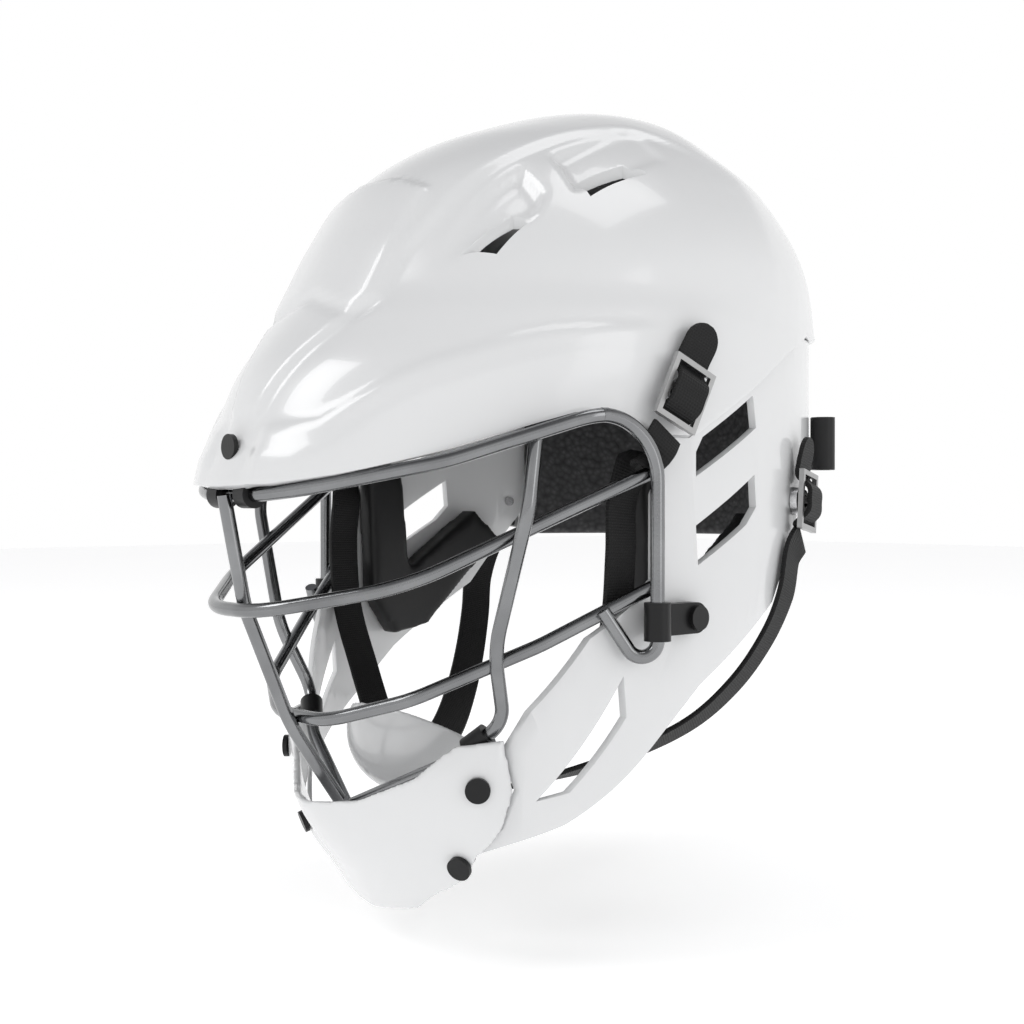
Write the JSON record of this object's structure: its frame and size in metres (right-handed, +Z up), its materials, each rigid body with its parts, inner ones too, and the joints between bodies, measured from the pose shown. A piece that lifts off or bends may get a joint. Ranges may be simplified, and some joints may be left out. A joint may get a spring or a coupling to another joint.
{
  "type": "lacrosse helmet",
  "caption": "White lacrosse helmet with a vented two-part shell, steel wire face cage, chin guard, foam liner and chin-cup straps.",
  "frame": {"origin": "inside the head at eye level, where the head holds the helmet", "axes": "the helmet faces -Y, +X is the wearer's left, +Z is up"},
  "size_m": [0.192, 0.2535, 0.2825],
  "materials": {
    "shell": "glossy white moulded shell",
    "cage_steel": "polished steel rod",
    "black_plastic": "moulded black plastic",
    "liner": "dark grey foam liner with a soft face",
    "webbing": "black woven webbing",
    "buckle_metal": "satin silver metal",
    "stud_metal": "plated snap stud",
    "cup": "white hard cup",
    "soft_black": "soft black moulded pad",
    "screw_metal": "black coated screw",
    "nut_metal": "plain steel nut"
  },
  "bodies": {
    "helmet": {"brow_clip": "black_plastic", "brow_pad": "liner", "brow_wire": "cage_steel", "centre_bar": "cage_steel", "chin_clip_left": "black_plastic", "chin_clip_right": "black_plastic", "chin_guard": "shell", "chin_rivets_lower": "black_plastic", "chin_rivets_upper": "black_plastic", "crown_pad": "liner", "crown_shell": "shell", "drop_bar_left": "cage_steel", "drop_bar_right": "cage_steel", "fit_strap_left": "webbing", "fit_strap_right": "webbing", "front_studs": "stud_metal", "jaw_pad_left": "soft_black", "jaw_pad_right": "soft_black", "lower_bar": "cage_steel", "lower_shell": "shell", "rear_pad": "liner", "rear_studs": "stud_metal", "side_clip_left": "black_plastic", "side_clip_nuts": "nut_metal", "side_clip_right": "black_plastic", "side_clip_screws": "screw_metal", "side_pad_left": "liner", "side_pad_right": "liner", "upper_bar": "cage_steel", "visor": "shell", "visor_screw": "screw_metal"},
    "chin_cup": {"chin_cup": "cup", "chin_cup_pad": "soft_black", "front_strap_left": "webbing", "front_strap_right": "webbing", "rear_strap_left": "webbing", "rear_strap_right": "webbing"},
    "fit_tail": {"fit_tail": "shell", "nape_pad": "liner"},
    "front_buckle_left": {"front_buckle_left": "buckle_metal", "front_socket_left": "stud_metal", "front_strap_tail_left": "webbing"},
    "front_buckle_right": {"front_buckle_right": "buckle_metal", "front_socket_right": "stud_metal", "front_strap_tail_right": "webbing"},
    "rear_buckle_left": {"rear_buckle_left": "buckle_metal", "rear_socket_left": "stud_metal", "rear_strap_tail_left": "webbing"},
    "rear_buckle_right": {"rear_buckle_right": "buckle_metal", "rear_socket_right": "stud_metal", "rear_strap_tail_right": "webbing"}
  },
  "joints": [
    {"name": "chin_cup_slide", "type": "slide", "parent": "helmet", "child": "chin_cup", "axis": [0, -0.1959, -0.9806], "range_m": [-0.004, 0.012], "deforming": ["front_strap_left", "front_strap_right", "rear_strap_left", "rear_strap_right"]},
    {"name": "fit_tail_slide", "type": "slide", "parent": "helmet", "child": "fit_tail", "axis": [0, -1, 0], "range_m": [0, 0.01]},
    {"name": "front_buckle_left_swivel", "type": "hinge", "parent": "helmet", "child": "front_buckle_left", "pos_m": [0.09193, -0.00875, 0.03795], "axis": [0.9894, -0.1448, -0.0096], "range_deg": [-12, 12]},
    {"name": "front_buckle_right_swivel", "type": "hinge", "parent": "helmet", "child": "front_buckle_right", "pos_m": [-0.09193, -0.00875, 0.03795], "axis": [-0.9894, -0.1448, -0.0096], "range_deg": [-12, 12]},
    {"name": "rear_buckle_left_swivel", "type": "hinge", "parent": "helmet", "child": "rear_buckle_left", "pos_m": [0.08272, 0.06773, 0.004], "axis": [0.9427, 0.3336, 0], "range_deg": [-12, 12]},
    {"name": "rear_buckle_right_swivel", "type": "hinge", "parent": "helmet", "child": "rear_buckle_right", "pos_m": [-0.08272, 0.06773, 0.004], "axis": [-0.9427, 0.3336, 0], "range_deg": [-12, 12]}
  ]
}
